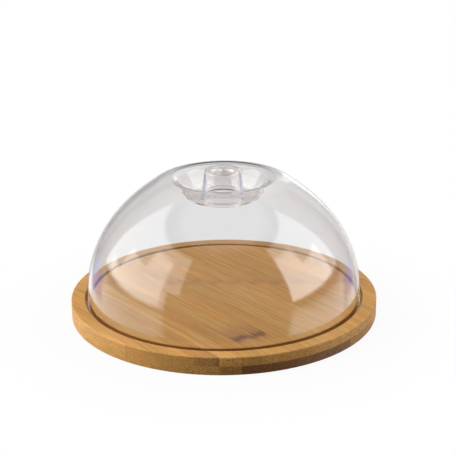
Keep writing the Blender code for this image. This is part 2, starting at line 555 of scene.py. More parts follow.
    def glue(self, graph: Graph, width: Socket, y: Socket) -> Socket:
        """The glue lines, which lie at whole multiples of the stave's width.

        Args:
            graph: the group's graph.
            width: the stave's width.
            y: the places along Y.

        Returns:
            1 on a glue line and 0 beside it.
        """
        turns = graph.math("ADD", graph.math("DIVIDE", y, width), 0.5)
        away = graph.math("ABSOLUTE", graph.math("SUBTRACT", graph.math("FRACT", turns), 0.5))
        away = graph.math("MULTIPLY", away, width)
        return graph.math("SUBTRACT", 1.0, graph.smooth(away, self.glue_full, self.glue_end))

    def groove(self, graph: Graph, given: Inputs, here: Socket, z: Socket) -> Socket:
        """Painted shade in the routed groove, darkest on its walls.

        Args:
            graph: the group's graph.
            given: the group's inputs by name.
            here: the places on the board.
            z: the places along Z.

        Returns:
            The share that the painted shade's tint takes.
        """
        radius = graph.length(graph.vector("MULTIPLY", here, (1.0, 1.0, 0.0)))
        beside = graph.math("ABSOLUTE", graph.math("SUBTRACT", radius, given["Groove Radius"]))
        below = graph.math("SUBTRACT", given["Groove Top"], z)
        beside = graph.smooth(beside, self.groove_end, self.groove_half)
        inside = graph.math("MULTIPLY", graph.smooth(below, self.groove_top, self.groove_full), beside)
        floor = graph.smooth(below, self.floor_from, self.floor_to)
        share = graph.math("MULTIPLY_ADD", floor, self.floor_shade_share, self.groove_shade_share)
        return graph.math("MULTIPLY", inside, share)

    def build(self) -> bpy.types.NodeTree:
        """Builds the group.

        Returns:
            The group's node tree.
        """
        numbers = ("Seed", "Knuckle Place", "Knuckle Depth", "Vessel Depth")
        numbers += ("Stave Width", "Groove Radius", "Groove Top")
        inputs = {"Position": VECTOR, "Normal": VECTOR, "Ground": COLOR, "Vessel": COLOR}
        inputs |= dict.fromkeys(numbers, NUMBER)
        outputs = {"Color": COLOR, "Roughness": NUMBER, "Height": NUMBER}
        graph, given, result = new_group("bamboo_grain", inputs, outputs)
        here = graph.scaled(given["Position"], 1.0 / MM)
        place = graph.vector("ADD", here, graph.scaled(self.seed_shift, given["Seed"]))
        wavy = self.swaying(graph, place)
        facing = graph.node("ShaderNodeSeparateXYZ", {"Vector": given["Normal"]}).outputs["X"]
        end_grain = graph.math("ABSOLUTE", facing)
        end_grain = graph.smooth(end_grain, self.end_grain_from, self.end_grain_to)
        vessel = self.vessels(graph, wavy, end_grain)
        lines = self.pattern(graph, wavy, self.line_spread, detail=3.0)

        color = self.ground(graph, given, place, wavy, lines)
        share = graph.math("MULTIPLY_ADD", end_grain, self.end_vessel_share, given["Vessel Depth"])
        color = graph.mix(graph.math("MULTIPLY", vessel, share), color, given["Vessel"])
        color = graph.scaled(color, graph.math("MULTIPLY_ADD", end_grain, self.end_grain_weight, 1.0))
        split = graph.node("ShaderNodeSeparateXYZ", {"Vector": here}).outputs
        knuckle = self.knuckle(graph, given, place, lines, split["X"])
        color = graph.mix(knuckle, color, graph.vector("MULTIPLY", given["Vessel"], self.knuckle_tint))
        glue = self.glue(graph, given["Stave Width"], split["Y"])
        color = graph.scaled(color, graph.math("MULTIPLY_ADD", glue, self.glue_weight, 1.0))
        # Painted shade in the groove: a darker, redder tint on its walls and floor
        groove = self.groove(graph, given, here, split["Z"])
        color = graph.mix(groove, color, graph.vector("MULTIPLY", given["Vessel"], self.groove_shade_tint))
        graph.put(result.inputs["Color"], color)

        rough = graph.math("MULTIPLY_ADD", lines, self.rough_lines, self.rough)
        rough = graph.math("MULTIPLY_ADD", vessel, self.rough_vessels, rough)
        graph.put(result.inputs["Roughness"], rough)
        height = graph.math("MULTIPLY", lines, self.height_lines)
        height = graph.math("MULTIPLY_ADD", vessel, self.height_vessels, height)
        graph.put(result.inputs["Height"], height)
        return graph.tree


@dataclass(frozen=True)
class BambooFinish:
    """Sanded and thinly oiled bamboo of one tone."""

    tone: BambooTone
    ground: Triple
    vessel: Triple
    vessel_depth: float = 0.32
    bump: float = 0.22
    bump_depth: float = 0.12 * MM
    gloss: float = 0.20

    def material(self, grain: bpy.types.NodeTree, board: "BambooBoard") -> bpy.types.Material:
        """Builds the finish.

        Args:
            grain: the bamboo grain group.
            board: the board, for the places of its joints and its groove.

        Returns:
            The material.
        """
        made, graph = new_material(self.tone.value)
        where = graph.node("ShaderNodeTexCoord")
        inputs = {
            "Position": where.outputs["Object"],
            "Normal": where.outputs["Normal"],
            "Ground": (*self.ground, 1.0),
            "Vessel": (*self.vessel, 1.0),
            "Vessel Depth": self.vessel_depth,
            "Stave Width": board.stave_width / MM,
            "Groove Radius": (board.groove.inside + board.groove.outside) / 2 / MM,
            "Groove Top": board.face / MM,
        }
        for label, attribute in StaveMark.labels().items():
            inputs[label] = graph.node("ShaderNodeAttribute", attribute_name=attribute).outputs["Fac"]
        pattern = fitted_group(graph, grain, inputs)
        bump = graph.node(
            "ShaderNodeBump",
            {"Strength": self.bump, "Distance": self.bump_depth, "Height": pattern.outputs["Height"]},
        )
        shader = graph.node(
            "ShaderNodeBsdfPrincipled",
            {
                "Base Color": pattern.outputs["Color"],
                "Roughness": pattern.outputs["Roughness"],
                "Normal": bump.outputs["Normal"],
                "Specular IOR Level": self.gloss,
            },
        )
        graph.node("ShaderNodeOutputMaterial", {"Surface": shader.outputs["BSDF"]})
        return made


@dataclass(frozen=True)
class ClearPlasticFinish:
    """Polished clear plastic, clearer in the crown, where a look passes more of its walls.

    Its very edge, which is seen at a slant, lets the background through. Light from the
    lamps passes it straight, so that it reaches what stands behind.
    """

    tint: Triple = (0.885, 0.89, 0.90)
    crown_tint: Triple = (0.94, 0.945, 0.955)
    fade: float = 14.0 * MM
    lamp_tint: Triple = (0.90, 0.90, 0.90)
    refraction: float = 1.50
    polish: float = 0.012
    smear_width: float = 15.2 * MM
    smear_from: float = 0.35
    smear_to: float = 0.75
    ripple: float = 0.04
    ripple_width: float = 38 * MM
    ripple_depth: float = 0.6 * MM
    edge_from: float = 0.76
    edge_to: float = 0.97
    edge_share: float = 0.8

    def material(self, crown_radius: float) -> bpy.types.Material:
        """Builds the finish, with the slow ripple of a moulded wall in its normals.

        Args:
            crown_radius: radius of the crown, round the Z axis.

        Returns:
            The material.
        """
        made, graph = new_material("clear_plastic")
        where = graph.node("ShaderNodeTexCoord").outputs["Object"]
        radius = graph.length(graph.vector("MULTIPLY", where, (1.0, 1.0, 0.0)))
        outside = graph.smooth(radius, crown_radius - self.fade, crown_radius + self.fade)
        tint = graph.mix(outside, (*self.crown_tint, 1.0), (*self.tint, 1.0))
        waves = graph.noise(graph.scaled(where, 1.0 / self.ripple_width), detail=1.0)
        bump = graph.node(
            "ShaderNodeBump",
            {"Strength": self.ripple, "Distance": self.ripple_depth, "Height": waves.outputs["Fac"]},
        )
        smears = graph.noise(graph.scaled(where, 1.0 / self.smear_width), detail=4.0).outputs["Fac"]
        smears = graph.smooth(smears, self.smear_from, self.smear_to)
        plastic = graph.node(
            "ShaderNodeBsdfPrincipled",
            {
                "Base Color": tint,
                "Roughness": graph.math("MULTIPLY", smears, self.polish),
                "IOR": self.refraction,
                "Transmission Weight": 1.0,
                "Normal": bump.outputs["Normal"],
            },
        )
        grazing = graph.node("ShaderNodeLayerWeight", {"Blend": 0.5}).outputs["Facing"]
        edge = graph.smooth(grazing, self.edge_from, self.edge_to)
        edge = graph.math("MULTIPLY", edge, self.edge_share)
        straight = graph.node("ShaderNodeBsdfTransparent", {"Color": WHITE})
        body = graph.mix_shader(edge, plastic.outputs["BSDF"], straight.outputs["BSDF"])
        clear = graph.node("ShaderNodeBsdfTransparent", {"Color": (*self.lamp_tint, 1.0)})
        lamp_ray = graph.node("ShaderNodeLightPath").outputs["Is Shadow Ray"]
        both = graph.mix_shader(lamp_ray, body, clear.outputs["BSDF"])
        graph.node("ShaderNodeOutputMaterial", {"Surface": both})
        return made


@dataclass(frozen=True)
class FloorFinish:
    """Plain matt paper that shows as white, with the object's shadow on it.

    In gloss the paper gives way to the surroundings below it, which hold the windows' foot.
    """

    paper: Triple = (0.92, 0.92, 0.92)
    bounce: Triple = (0.25, 0.25, 0.25)
    rough: float = 0.8
    rough_play: float = 0.2
    white_share: float = 0.92
    near: float = 0.15
    far: float = 0.26

    def material(self) -> bpy.types.Material:
        """Builds the finish, whose white shows to the eye and through clear plastic.

        Returns:
            The material.
        """
        made, graph = new_material("white_paper")
        place = graph.node("ShaderNodeTexCoord").outputs["Object"]
        seen = seen_rays(graph)
        grain = graph.noise(graph.scaled(place, 1.0 / MM))
        rough = graph.math("MULTIPLY_ADD", grain.outputs["Fac"], self.rough_play, self.rough)
        color = graph.mix(seen, (*self.bounce, 1.0), (*self.paper, 1.0))
        paper = graph.node("ShaderNodeBsdfDiffuse", {"Color": color, "Roughness": rough})
        white = graph.node("ShaderNodeEmission", {"Color": WHITE, "Strength": 1.0})
        fade = graph.smooth(graph.length(place), self.near, self.far)
        share = graph.math("MULTIPLY_ADD", fade, 1.0 - self.white_share, self.white_share)
        share = graph.math("MULTIPLY", seen, share)
        both = graph.mix_shader(share, paper.outputs["BSDF"], white.outputs["Emission"])
        clear = graph.node("ShaderNodeBsdfTransparent", {"Color": WHITE})
        mirrored = graph.math("MULTIPLY", seen, gloss_rays(graph))
        every = graph.mix_shader(mirrored, both, clear.outputs["BSDF"])
        graph.node("ShaderNodeOutputMaterial", {"Surface": every})
        return made


def gloss_rays(graph: Graph) -> Socket:
    """1 for a ray that gloss has sent on its way, and 0 for any other."""
    return graph.math("GREATER_THAN", graph.node("ShaderNodeLightPath").outputs["Glossy Depth"], 0.5)


def seen_rays(graph: Graph) -> Socket:
    """Tells the rays that the eye follows from those that light matt things.

    Args:
        graph: the graph of the material or the world.

    Returns:
        1 for a ray that came straight, mirrored or through plastic, and 0 for any other.
    """
    path = graph.node("ShaderNodeLightPath")
    straight = graph.math("ADD", path.outputs["Is Camera Ray"], path.outputs["Is Glossy Ray"])
    seen = graph.math("ADD", straight, path.outputs["Is Transmission Ray"], clamp=True)
    return graph.math("MULTIPLY", seen, graph.math("LESS_THAN", path.outputs["Diffuse Depth"], 0.5))


# The board


@dataclass(frozen=True)
class StaveMark:
    """What sets one stave's bamboo apart, kept as attributes of its mesh."""

    seed: float
    knuckle_place: float
    knuckle_depth: float

    @staticmethod
    def labels() -> dict[str, str]:
        """The grain group's inputs that come from attributes, with the attributes' names."""
        return {"Seed": "stave_seed", "Knuckle Place": "knuckle_place", "Knuckle Depth": "knuckle_depth"}

    def write(self, mesh: bpy.types.Mesh) -> None:
        """Stores the values on every point of a mesh.

        Args:
            mesh: the stave's mesh.
        """
        values = (self.seed, self.knuckle_place, self.knuckle_depth)
        for name, value in zip(self.labels().values(), values):
            layer = mesh.attributes.new(name, "FLOAT", "POINT")
            layer.data.foreach_set("value", np.full(len(mesh.vertices), value, np.float32))


@dataclass(frozen=True)
class TurnedOutline:
    """Half of a turned ply's section, as two runs of points (r, z) from the axis to the rim."""

    top: np.ndarray
    bottom: np.ndarray

    def section(self, rows: np.ndarray) -> np.ndarray:
        """Cuts the turned ply by planes of constant Y.

        A point of the outline at radius r stands at x = the square root of r squared less
        y squared. Where r is less than the distance of the plane from the axis, the plane
        misses that point, and the outline's height right at that distance stands in, at x = 0.

        Args:
            rows: the planes' places along Y.

        Returns:
            For each row, a closed loop of points (x, y, z): out along the top, back along
            the bottom, and the same on the other side.
        """
        halves = []
        for run in (self.top, self.bottom):
            far = np.abs(rows)[:, None]
            radius, height = run[None, :, 0], run[None, :, 1]
            across = np.sqrt(np.maximum(radius**2 - far**2, 0.0))
            rising = run[:, 0] + HAIR * np.arange(len(run))
            at_plane = np.interp(np.abs(rows), rising, run[:, 1])[:, None]
            halves.append((across, np.where(radius >= far - HAIR, height, at_plane)))
        across = np.concatenate([halves[0][0], halves[1][0][:, ::-1]], axis=1)
        height = np.concatenate([halves[0][1], halves[1][1][:, ::-1]], axis=1)
        across = np.concatenate([across, -across[:, -2:0:-1]], axis=1)
        height = np.concatenate([height, height[:, -2:0:-1]], axis=1)
        return np.stack([across, np.broadcast_to(rows[:, None], across.shape), height], axis=-1)


@dataclass(frozen=True)
class Groove:
    """The groove for the dome's rim."""

    inside: float
    outside: float
    depth: float = 4.5 * MM
    chamfer: float = 0.4 * MM


@dataclass(frozen=True)
class BambooPly:
    """One ply of the board: staves side by side along Y, turned round together.

    Each entry of knuckles is a stave's number, the knuckle's place along X and its depth.
    The other staves have a faint one somewhere along them.
    """

    name: str
    foot: float
    face: float
    radius: float
    stave_width: float
    tones: tuple[BambooTone, ...]
    groove: Groove | None
    rim_round: float
    foot_round: float
    ease: float = 0.08 * MM
    row_turn: float = math.radians(0.8)
    arc_steps: int = 8
    knuckles: tuple[tuple[int, float, float], ...] = ()
    faint_knuckle: float = 0.30
    faint_reach: float = 0.86
    faint_step: float = 1.7
    seed_step: float = 0.618

    def outline(self, ease: float) -> TurnedOutline:
        """The ply's section, cut back by ease all round.

        Args:
            ease: how far each surface lies inside its full size.

        Returns:
            The outline, with round edges at the rim and the groove where the ply has one.
        """
        face, foot, radius = self.face - ease, self.foot + ease, self.radius - ease
        top = [(0.0, face)]
        if self.groove:
            floor = self.face - self.groove.depth - ease
            inside, outside = self.groove.inside - ease, self.groove.outside + ease
            chamfer = self.groove.chamfer
            top += [(inside - chamfer, face), (inside, face - chamfer), (inside, floor)]
            top += [(outside, floor), (outside, face - chamfer), (outside + chamfer, face)]
        rim_centre = (radius - self.rim_round, face - self.rim_round)
        rim = arc(rim_centre, self.rim_round, 90, 0, self.arc_steps)
        foot_centre = (radius - self.foot_round, foot + self.foot_round)
        foot_edge = arc(foot_centre, self.foot_round, -90, 0, self.arc_steps)
        bottom = np.concatenate([[(0.0, foot)], foot_edge])
        return TurnedOutline(np.concatenate([np.array(top), rim]), bottom)

    def rows(self, low: float, high: float) -> np.ndarray:
        """Planes across one stave, close enough for each circle of the outline to look round.

        On a circle of radius r, equal turns lie at y = r times the sine of an even run of
        angles. The rows of all circles are taken together, to a hundredth of a millimetre.

        Args:
            low: the stave's lower side along Y.
            high: its upper side.

        Returns:
            The rows between the two sides, without the sides.
        """
        radii = np.unique(np.concatenate([self.outline(0.0).top[1:, 0], [self.radius]]))
        runs = []
        for radius in radii:
            start, end = np.arcsin(np.clip(np.array([low, high]) / radius, -1.0, 1.0))
            runs.append(radius * np.sin(np.linspace(start, end, 2 + int((end - start) / self.row_turn))))
        rows = np.unique(np.round(np.concatenate([*runs, radii, -radii]), 5))
        return rows[(rows > low + self.ease) & (rows < high - self.ease)]

    def loops(self, low: float, high: float) -> np.ndarray:
        """The stave's section loops, row by row, with eased edges where it meets its neighbours.

        Args:
            low: the stave's lower side along Y.
            high: its upper side.

        Returns:
            An array of loops of points.
        """
        inner = [self.rows(low, high)]
        ends = []
        for side, inward in ((low, self.ease), (high, -self.ease)):
            if abs(side) < self.radius - self.ease:
                inner.append(np.array([side + inward]))
                ends.append(self.outline(self.ease).section(np.array([side])))
            else:
                inner.append(np.array([side]))
        loops = self.outline(0.0).section(np.sort(np.concatenate(inner)))
        if abs(low) < self.radius - self.ease:
            loops = np.concatenate([ends.pop(0), loops])
        if ends:
            loops = np.concatenate([loops, ends.pop()])
        return loops

    def build_stave(self, number: int, low: float, high: float) -> bpy.types.Object:
        """Builds one stave as a grid of its section loops, closed at both sides.

        Args:
            number: the stave's number, counted from the -Y side.
            low: its lower side along Y.
            high: its upper side.

        Returns:
            The stave's object.
        """
        loops = self.loops(low, high)
        rows, columns = loops.shape[:2]
        faces = grid_quads(rows, columns, closed_rows=True).tolist()
        if abs(low) < self.radius - self.ease:
            faces.append(list(range(columns)))
        if abs(high) < self.radius - self.ease:
            faces.append(list(range((rows - 1) * columns, rows * columns)))
        stave = new_mesh_object(f"{self.name}_stave_{number:02d}_turned", loops.reshape(-1, 3), faces)
        close_and_smooth(stave, weld=1e-6, crease=math.radians(32), flat_fins=True)
        return stave

    def mark(self, number: int) -> StaveMark:
        """The stave's own seed and knuckle. Golden-section steps spread both evenly.

        Args:
            number: the stave's number.

        Returns:
            The mark.
        """
        step = number * self.seed_step + self.foot / self.face
        share = 2.0 * ((step * self.faint_step) % 1.0) - 1.0
        faint = (self.faint_reach * self.radius * share, self.faint_knuckle)
        known = {stave: (place, depth) for stave, place, depth in self.knuckles}
        return StaveMark(step % 1.0 + number, *known.get(number, faint))

    def build(self, finishes: dict[BambooTone, bpy.types.Material]) -> None:
        """Builds and dresses the staves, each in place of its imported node.

        Args:
            finishes: the bamboo materials by tone.
        """
        count = len(self.tones)
        inner = (np.arange(count - 1) - (count - 2) / 2) * self.stave_width
        joints = [-self.radius, *inner.tolist(), self.radius]
        for number, (low, high) in enumerate(zip(joints, joints[1:]), start=1):
            stave = self.build_stave(number, low, high)
            self.mark(number).write(stave.data)
            tone = self.tones[number - 1]
            stave.data.materials.append(finishes[tone])
            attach(stave, "board")
            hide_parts(f"{self.name}_stave_{number:02d}")
            LOG.info("%s: %d faces, %s", stave.name, len(stave.data.polygons), tone.value)


@dataclass(frozen=True)
class BambooBoard:
    """The board: two plies with the groove for the dome's rim in the upper one."""

    radius: float
    ply_joint: float
    face: float
    groove: Groove
    stave_width: float = 16 * MM
    rim_round: float = 1.2 * MM
    foot_round: float = 1.0 * MM
    joint_ease: float = 0.12 * MM

    @classmethod
    def from_frame(cls, dome_radius: float, wall: float) -> "BambooBoard":
        """Takes the board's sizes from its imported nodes, and the groove's from the dome.

        Args:
            dome_radius: outer radius of the dome's rim.
            wall: the dome's thickness.

        Returns:
            The board.
        """
        play_inside, play_outside = 1.4 * MM, 2.2 * MM
        radius = -round(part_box(FIRST_STAVE)[0].y, 5)
        low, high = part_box(MIDDLE_STAVE)
        groove = Groove(dome_radius - wall - play_inside, dome_radius + play_outside)
        return cls(radius, low.z, high.z, groove)

    @staticmethod
    def upper_tones() -> tuple[BambooTone, ...]:
        """Tones of the upper staves from the -Y side."""
        golden, pale = BambooTone.GOLDEN, BambooTone.PALE
        front = (pale,) + (golden,) * 3 + (pale, golden) * 2 + (golden,)
        return front + (pale,) * 3 + (golden,) * 4 + (pale, golden) * 2

    @staticmethod
    def lower_tones() -> tuple[BambooTone, ...]:
        """Tones of the lower staves from the -Y side."""
        golden, amber, smoked = BambooTone.GOLDEN, BambooTone.AMBER, BambooTone.SMOKED
        return (golden,) * 4 + (amber,) + (smoked,) * 7 + (amber,) * 3 + (golden,) * 5

    def finishes(self) -> dict[BambooTone, bpy.types.Material]:
        """Builds the bamboo finishes.

        Returns:
            The materials by tone.
        """
        grain = BambooGrain().build()
        made = (
            BambooFinish(BambooTone.GOLDEN, (0.63, 0.325, 0.088), (0.21, 0.090, 0.023)),
            BambooFinish(BambooTone.PALE, (0.68, 0.365, 0.108), (0.24, 0.107, 0.030)),
            BambooFinish(BambooTone.AMBER, (0.45, 0.220, 0.058), (0.155, 0.064, 0.017)),
            BambooFinish(BambooTone.SMOKED, (0.25, 0.112, 0.036), (0.085, 0.037, 0.015)),
        )
        return {finish.tone: finish.material(grain, self) for finish in made}

    def build(self) -> None:
        """Builds both plies."""
        finishes = self.finishes()
        shared = {"radius": self.radius, "stave_width": self.stave_width}
        BambooPly(
            name="lower", foot=0.0, face=self.ply_joint, tones=self.lower_tones(), groove=None,
            rim_round=self.joint_ease, foot_round=self.foot_round, **shared,
        ).build(finishes)
        BambooPly(
            name="upper", foot=self.ply_joint, face=self.face, tones=self.upper_tones(), groove=self.groove,
            rim_round=self.rim_round, foot_round=self.joint_ease,
            knuckles=((4, 0.118, 0.8), (7, 0.096, 1.0), (8, 0.099, 1.0)), **shared,
        ).build(finishes)


# The dome


@dataclass(frozen=True)
class ClearDome:
    """The clear moulding: skirt, shoulder, recess in the crown and hollow knob.

    Heights are above the board's face.
    """

    radius: float
    face: float
    foot: float
    wall: float = 2.5 * MM
    rim_round: float = 0.8 * MM
    wall_rise: float = 64.3 * MM
    shoulder_radius: float = 62.0 * MM
    shoulder_height: float = 116.7 * MM
    shoulder_slope: float = math.radians(34)
    shoulder_pull: float = 33.4 * MM
    shoulder_round: float = 24.0 * MM
    lip_radius: float = 46.6 * MM
    lip_rise: float = 2.9 * MM
    lip_round: float = 8.0 * MM
    recess_depth: float = 19.6 * MM
    well_radius: float = 32.0 * MM
    well_depth: float = 3.4 * MM
    well_draft: float = 1.0 * MM
    well_round: float = 0.6 * MM
    knob_height: float = 26.0 * MM
    knob_foot_radius: float = 20.8 * MM
    knob_top_radius: float = 17.5 * MM
    knob_round: float = 0.3 * MM
    gate_radius: float = 1.5 * MM
    gate_height: float = 0.3 * MM
    wall_steps: int = 44
    arc_steps: int = 8
    turn_steps: int = 320

    @classmethod
    def from_frame(cls, face: float) -> "ClearDome":
        """Takes the dome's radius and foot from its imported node.

        Args:
            face: height of the board's face.

        Returns:
            The dome.
        """
        low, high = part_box("clear_dome")
        return cls(high.x, face, low.z - face)

    def shoulder(self) -> np.ndarray:
        """Where the crown's slope and the wall's slope meet, in the middle of the wall.

        Returns:
            The point (r, z).
        """
        outside = np.array([self.shoulder_radius, self.shoulder_height])
        outward = np.array([math.sin(self.shoulder_slope), math.cos(self.shoulder_slope)])
        return outside - self.wall / 2 * outward

    def shoulder_reach(self) -> float:
        """How far the shoulder's arc runs down the wall from where the slopes meet."""
        crown_slope = math.atan2(self.lip_rise, self.shoulder_radius - self.lip_radius)
        return (self.shoulder_round + self.wall / 2) * math.tan((self.shoulder_slope - crown_slope) / 2)

    def wall_line(self) -> np.ndarray:
        """Middle of the wall, from the shoulder to the board's face, as a cubic Bezier curve.

        With t from 0 to 1, each point is the sum of the four control points, weighted by
        (1-t)^3, 3t(1-t)^2, 3t^2(1-t) and t^3.

        Returns:
            An array of points (r, z).
        """
        half = self.wall / 2
        slope = np.array([math.cos(self.shoulder_slope), -math.sin(self.shoulder_slope)])
        start = self.shoulder() + slope * self.shoulder_reach()
        end = self.shoulder() + slope * self.shoulder_pull
        foot = np.array([self.radius - half, 0.0])
        control = np.stack([start, end, foot + [0.0, self.wall_rise], foot])
        t = np.linspace(0.0, 1.0, self.wall_steps + 1)[:, None]
        weights = np.concatenate([(1 - t) ** 3, 3 * t * (1 - t) ** 2, 3 * t**2 * (1 - t), t**3], axis=1)
        return weights @ control

    def middle_line(self) -> np.ndarray:
        """Middle of the whole wall, from the knob's centre out and down to the rim.

        Returns:
            An array of points (r, z).
        """
        half = self.wall / 2
        lip = self.shoulder_height + self.lip_rise
        floor = lip - self.recess_depth
        top = floor + self.knob_height
        well_edge = self.well_radius + self.well_draft
        corners = [
            (0.0, top - half, 0.0),
            (self.knob_top_radius - half, top - half, self.knob_round + half),
            (self.knob_foot_radius - half, floor - half, self.well_round + half),
            (self.well_radius + half, floor - half, self.well_round + half),
            (well_edge + half, floor + self.well_depth - half, self.well_round + half),
            (self.lip_radius, lip - half, self.lip_round + half),
            (*self.shoulder(), self.shoulder_round + half),
        ]
        wall = np.pad(self.wall_line(), ((0, 0), (0, 1)))
        foot = (self.radius - half, self.foot + self.rim_round, 0.0)
        line = np.concatenate([np.array(corners), wall, [foot]])
        return rounded(line[:, :2], line[:, 2], self.arc_steps)

    def profile(self) -> np.ndarray:
        """The moulding's section: outside with the gate mark, rim and inside.

        Returns:
            An array of points (r, z), with z above the table.
        """
        half = self.wall / 2
        middle = self.middle_line()
        outside = moved_aside(middle, half)
        inside = moved_aside(middle, -half)
        top = outside[0, 1]
        mark = top + self.gate_height
        gate = np.array([(0.0, mark), (self.gate_radius, mark), (self.gate_radius + self.gate_height, top)])
        outer_centre = (self.radius - self.rim_round, middle[-1, 1])
        outer = arc(outer_centre, self.rim_round, 0, -90, self.arc_steps)
        inner_centre = (self.radius - self.wall + self.rim_round, middle[-1, 1])
        inner = arc(inner_centre, self.rim_round, -90, -180, self.arc_steps)
        line = np.concatenate([gate, outside[1:-1], outer, inner, inside[-2:0:-1], [(0.0, inside[0, 1])]])
        line[:, 1] += self.face
        return line

    def build(self, finish: ClearPlasticFinish) -> None:
        """Turns the profile round the Z axis: each point (r, z) goes to (r cos a, r sin a, z).

        The dome takes no part in the light that matt things gather, because the lamps reach
        the wood through it already.

        Args:
            finish: the plastic's finish.
        """
        profile = self.profile()
        turn = np.linspace(0.0, 2 * np.pi, self.turn_steps, endpoint=False)[None, :]
        radius, height = profile[:, :1], profile[:, 1:]
        shape = (len(profile), self.turn_steps)
        level = np.broadcast_to(height, shape)
        points = np.stack([radius * np.cos(turn), radius * np.sin(turn), level], axis=-1)
        faces = grid_quads(*shape, closed_rows=True).tolist()
        dome = new_mesh_object("clear_dome_moulding", points.reshape(-1, 3), faces)
        close_and_smooth(dome, weld=2e-6, crease=math.radians(50))
        dome.data.materials.append(finish.material(self.shoulder_radius))
        dome.visible_diffuse = False
        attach(dome, "dome")
        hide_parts("clear_dome")
        LOG.info("%s: %d faces", dome.name, len(dome.data.polygons))


# The studio


@dataclass(frozen=True)
class View:
    """The photograph's view of the board: where the camera stands and how it is turned."""

    azimuth: float = math.radians(52)
    elevation: float = math.radians(22.756)
    distance: float = 1.1679
    tilt: float = math.radians(3.0586)
    pan: float = math.radians(0.2328)
    roll: float = math.radians(-0.6056)
    lens: float = 92.97
    sensor: float = 36.0
    near: float = 0.01

    def right(self) -> Vector:
        """The level way to the picture's right."""
        return Vector((math.cos(self.azimuth), math.sin(self.azimuth), 0.0))

    def away(self) -> Vector:
        """The level way that the camera looks along."""
        return Vector((-math.sin(self.azimuth), math.cos(self.azimuth), 0.0))

    def toward(self, turn: float, rise: float) -> Vector:
        """A way told from the camera's own.

        Args:
            turn: how far it lies to the right, in degrees.
            rise: how far it lies above level, in degrees.

        Returns:
            The way, of length 1.
        """
        turn, rise = math.radians(turn), math.radians(rise)
        level = self.away() * math.cos(turn) + self.right() * math.sin(turn)
        return level * math.cos(rise) + Vector((0.0, 0.0, math.sin(rise)))

    def build(self, target: Vector) -> None:
        """Stands the camera at its distance from target and turns it by tilt, pan and roll.

        Args:
            target: the point that the distance is told from.
        """
        forward = self.away() * math.cos(self.elevation) - Vector((0.0, 0.0, math.sin(self.elevation)))
        upward = self.right().cross(forward)
        basis = Matrix((self.right(), upward, -forward)).transposed()
        turned = Matrix.Rotation(self.tilt, 3, "X") @ Matrix.Rotation(-self.pan, 3, "Y")
        turned = basis @ turned @ Matrix.Rotation(self.roll, 3, "Z")
        camera = bpy.data.objects.new("camera", bpy.data.cameras.new("camera"))
        camera.data.lens = self.lens
        camera.data.sensor_width = self.sensor
        camera.data.clip_start = self.near
        camera.matrix_world = Matrix.Translation(target - forward * self.distance) @ turned.to_4x4()
        bpy.context.scene.collection.objects.link(camera)
        bpy.context.scene.camera = camera


@dataclass(frozen=True)
class SoftBox:
    """A large soft lamp beside the board."""

    name: str
    turn: float
    rise: float
    power: float
    distance: float = 1.3
    width: float = 1.5
    height: float = 1.0

    def build(self, view: View, target: Vector) -> None:
        """Hangs the lamp at its turn and rise from the view, facing target.

        Args:
            view: the camera's view.
            target: the point that the lamp faces.
        """
        lamp = bpy.data.lights.new(self.name, "AREA")
        lamp.shape = "RECTANGLE"
        lamp.size = self.width
        lamp.size_y = self.height
        lamp.energy = self.power
        lamp.cycles.use_multiple_importance_sampling = False
        obj = bpy.data.objects.new(self.name, lamp)
        way = view.toward(self.turn, self.rise)
        obj.location = target + way * self.distance
        obj.rotation_euler = way.to_track_quat("Z", "Y").to_euler()
        obj.visible_camera = False
        obj.visible_transmission = False
        bpy.context.scene.collection.objects.link(obj)


@dataclass(frozen=True)
class SoftWindow:
    """A bright or dark field that shows in gloss: its span of turns and rises in degrees, and its light."""

    left: float
    right: float
    low: float
    high: float
    light: Triple
    edge: float


def window_group() -> bpy.types.NodeTree:
    """A node group that is 1 inside a window of the studio and 0 outside, by turn and rise.

    Returns:
        The group's node tree.
    """
    graph, given, result = new_group(
        "soft_window",
        {name: NUMBER for name in ("Turn", "Rise", "Left", "Right", "Low", "High", "Edge")},
        {"Mask": NUMBER},
    )
    mask = None
    for value, start, end in (("Turn", "Left", "Right"), ("Rise", "Low", "High")):
        above = graph.math("DIVIDE", graph.math("SUBTRACT", given[value], given[start]), given["Edge"])
        below = graph.math("DIVIDE", graph.math("SUBTRACT", given[end], given[value]), given["Edge"])
        inside = graph.math("MULTIPLY", graph.smooth(above, -1.0, 1.0), graph.smooth(below, -1.0, 1.0))
        mask = inside if mask is None else graph.math("MULTIPLY", mask, inside)
    graph.put(result.inputs["Mask"], mask)
    return graph.tree


